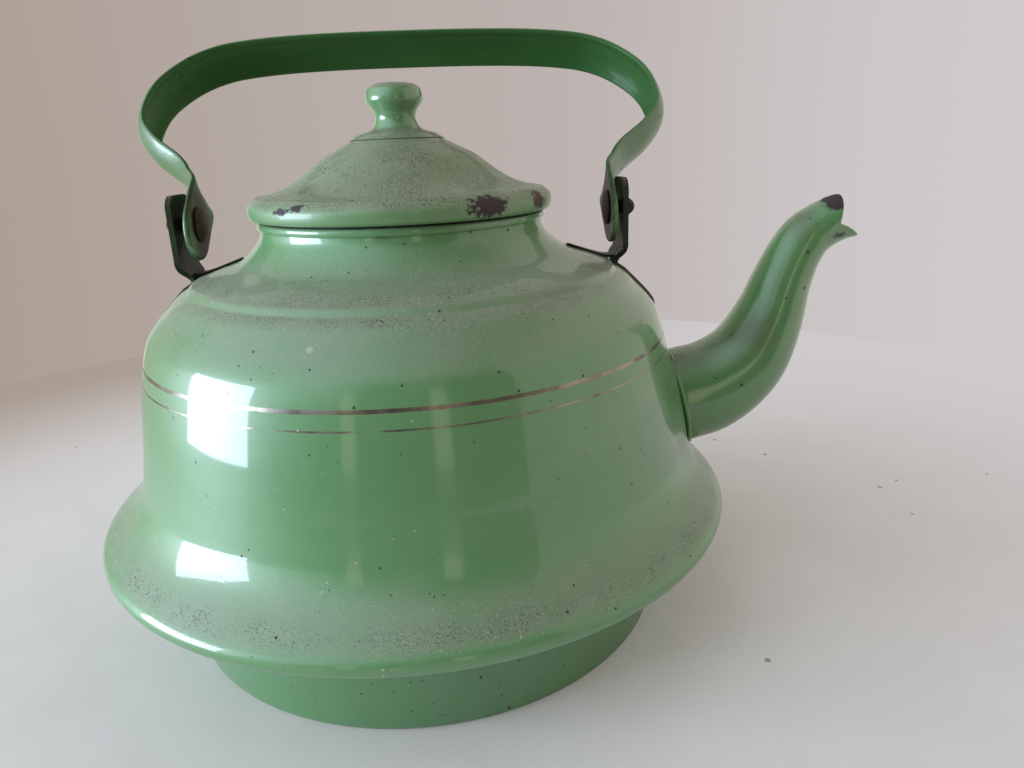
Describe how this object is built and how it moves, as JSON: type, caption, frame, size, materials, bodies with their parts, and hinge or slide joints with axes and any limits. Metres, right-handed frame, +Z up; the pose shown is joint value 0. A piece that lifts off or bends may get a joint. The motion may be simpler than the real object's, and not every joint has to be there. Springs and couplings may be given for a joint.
{
  "type": "stovetop tea kettle",
  "caption": "Enamelled steel stove kettle with a round shouldered body on a stepped base, S-curved beaked spout, swinging bail handle and lift-off domed lid with a mushroom knob",
  "frame": {"origin": "centre of the flat base on the kettle's turning axis", "axes": "+X towards the spout, +Z up, the bail leans to +Y"},
  "size_m": [0.2706, 0.22, 0.206],
  "materials": {
    "body_enamel": "gloss",
    "base_enamel": "satin",
    "spout_enamel": "gloss",
    "ear_enamel": "satin",
    "bail_enamel": "gloss",
    "rivet_steel": "rusted",
    "lid_enamel": "gloss",
    "collar_enamel": "gloss",
    "knob_enamel": "gloss"
  },
  "bodies": {
    "kettle": {"body_shell": "body_enamel", "base_pan": "base_enamel", "spout": "spout_enamel", "rear_ear": "ear_enamel", "front_ear": "ear_enamel", "rear_pivot_rivet": "rivet_steel", "front_pivot_rivet": "rivet_steel"},
    "bail": {"bail_handle": "bail_enamel"},
    "lid": {"lid_shell": "lid_enamel", "lid_collar": "collar_enamel", "lid_knob": "knob_enamel"}
  },
  "joints": [
    {"name": "bail_swing", "type": "hinge", "parent": "kettle", "child": "bail", "pos_m": [0, 0, 0.14], "axis": [1, 0, 0], "range_deg": [-54, 146]},
    {"name": "lid_lift", "type": "slide", "parent": "kettle", "child": "lid", "axis": [0, 0, 1], "range_m": [0, 0.03]}
  ]
}
